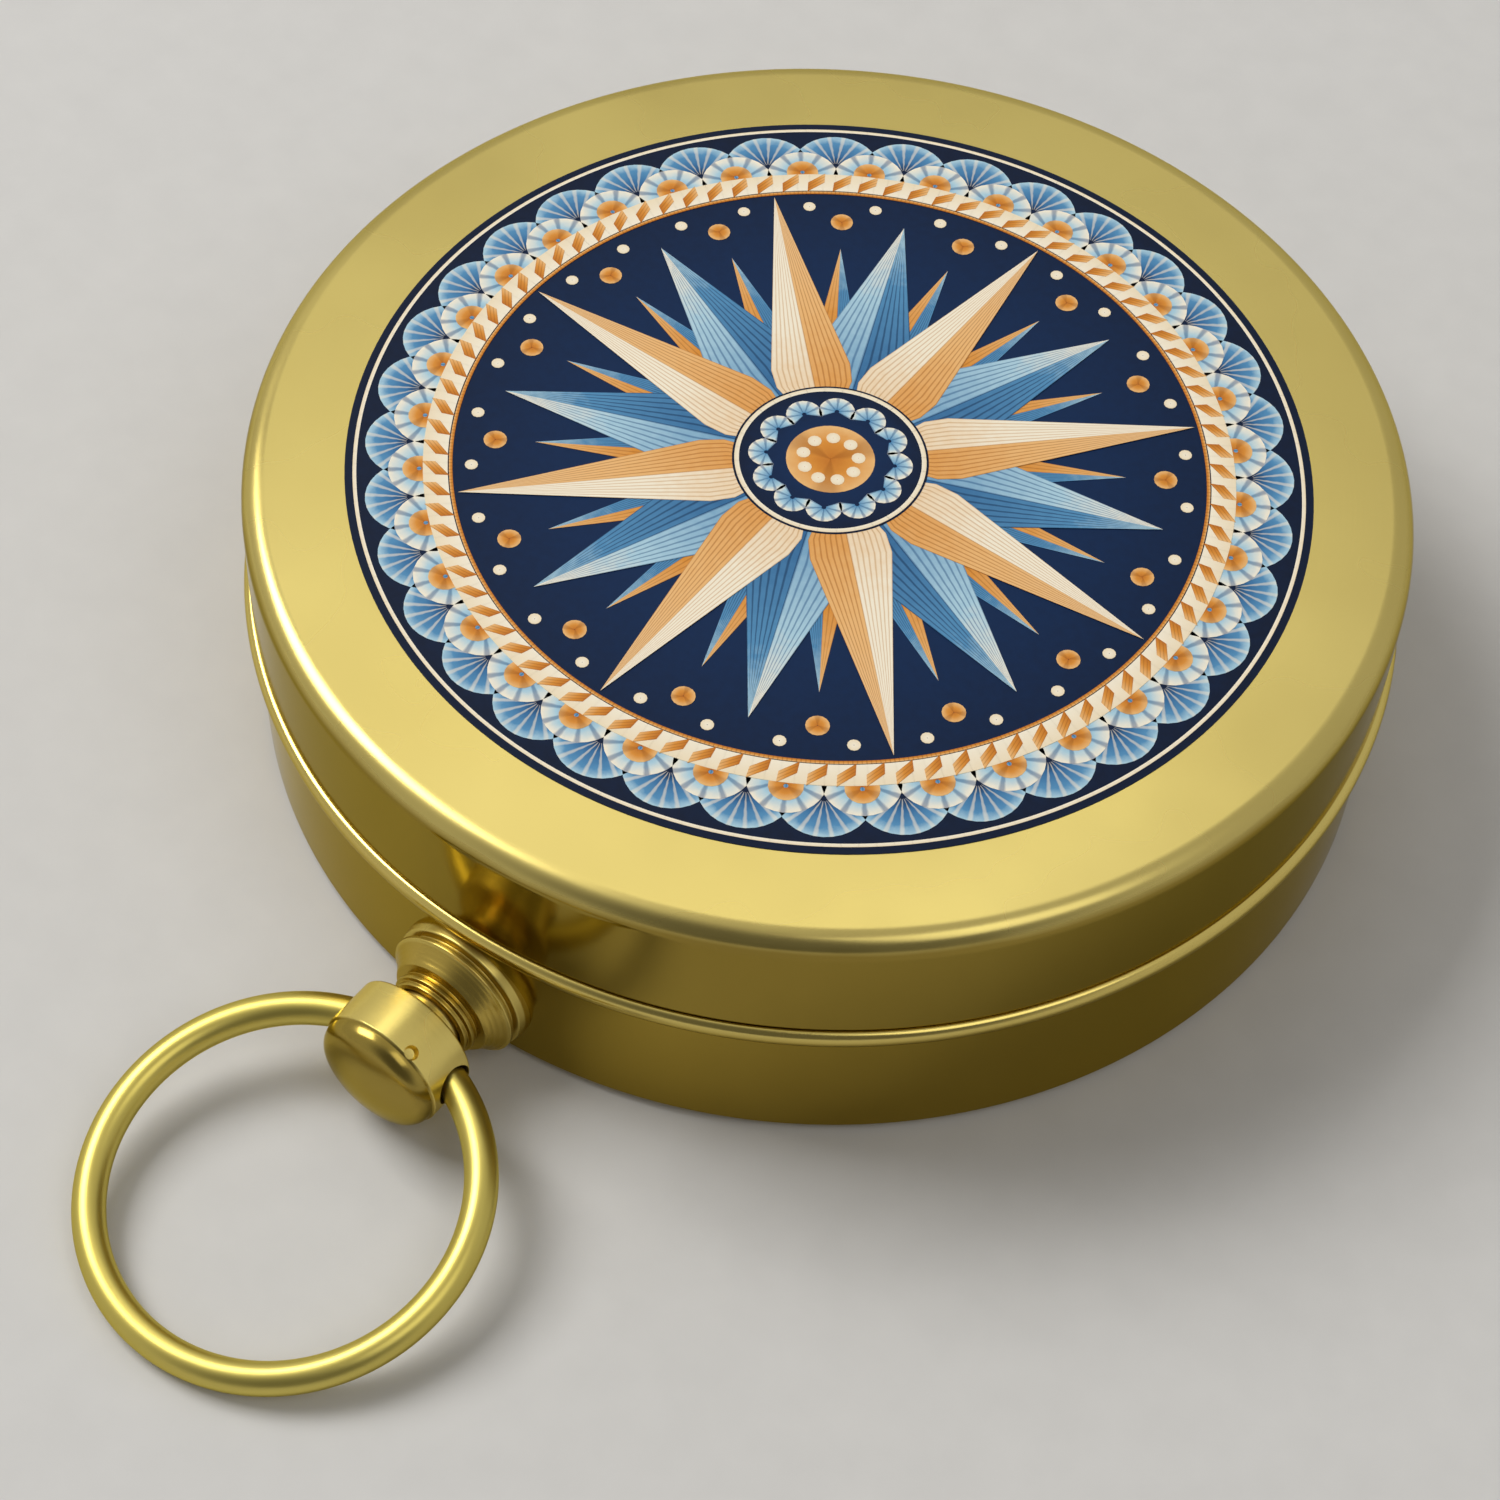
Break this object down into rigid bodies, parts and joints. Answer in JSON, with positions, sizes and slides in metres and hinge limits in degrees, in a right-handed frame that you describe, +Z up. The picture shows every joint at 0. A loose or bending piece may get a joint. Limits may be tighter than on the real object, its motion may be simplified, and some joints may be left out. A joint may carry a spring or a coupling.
{
  "type": "pocket compass",
  "caption": "Round brass pocket compass with a hinged lid, a push knob on a turned neck, a wire ring and a needle under glass.",
  "frame": {"origin": "centre of the case on the face it rests on", "axes": "+Z up out of the lid, -Y along the neck towards the ring, +Y towards the hinge"},
  "size_m": [0.0506, 0.0723, 0.014],
  "materials": {
    "case_brass": "polished, satin on top",
    "turned_brass": "turned and polished",
    "wire_brass": "drawn wire",
    "bezel_brass": "brushed round",
    "cup_metal": "satin",
    "steel": "bright",
    "dial_face": "printed enamel",
    "needle_paint": "one arm painted, one arm blued",
    "jewel": "polished",
    "gasket_rubber": "matte",
    "glass": "clear",
    "print": "printed disc, clear coat"
  },
  "bodies": {
    "case": {"case_base": "case_brass", "pendant_neck": "turned_brass", "neck_nut": "turned_brass", "return_spring": "steel", "dial_cup": "cup_metal", "dial_plate": "dial_face", "pivot_post": "turned_brass", "crystal_gasket": "gasket_rubber", "crystal": "glass", "bezel_ring": "bezel_brass", "lift_spring": "steel", "lift_screw": "steel", "case_knuckles": "case_brass", "hinge_pin": "steel"},
    "lid": {"lid_shell": "case_brass", "lid_rim": "case_brass", "lid_print": "print", "lid_knuckle": "case_brass"},
    "knob": {"push_knob": "turned_brass", "push_stem": "steel", "catch_claw": "steel", "claw_screw": "steel"},
    "bow": {"bow_ring": "wire_brass"},
    "needle": {"needle_blade": "needle_paint", "needle_hub": "turned_brass", "needle_jewel": "jewel", "needle_weight": "turned_brass"}
  },
  "joints": [
    {"name": "lid_hinge", "type": "hinge", "parent": "case", "child": "lid", "pos_m": [0, 0.02642, 0.0079], "axis": [-1, 0, 0], "range_deg": [0, 100]},
    {"name": "knob_press", "type": "slide", "parent": "case", "child": "knob", "axis": [0, 1, 0], "range_m": [0, 0.0005], "stiffness_N_per_m": 3000, "deforming": ["return_spring"]},
    {"name": "bow_swing", "type": "hinge", "parent": "knob", "child": "bow", "pos_m": [0, -0.0291, 0.0035], "axis": [-1, 0, 0], "range_deg": [-80, 119]},
    {"name": "needle_spin", "type": "hinge", "parent": "case", "child": "needle", "pos_m": [0, 0, 0.00423], "axis": [0, 0, 1], "continuous": true}
  ]
}
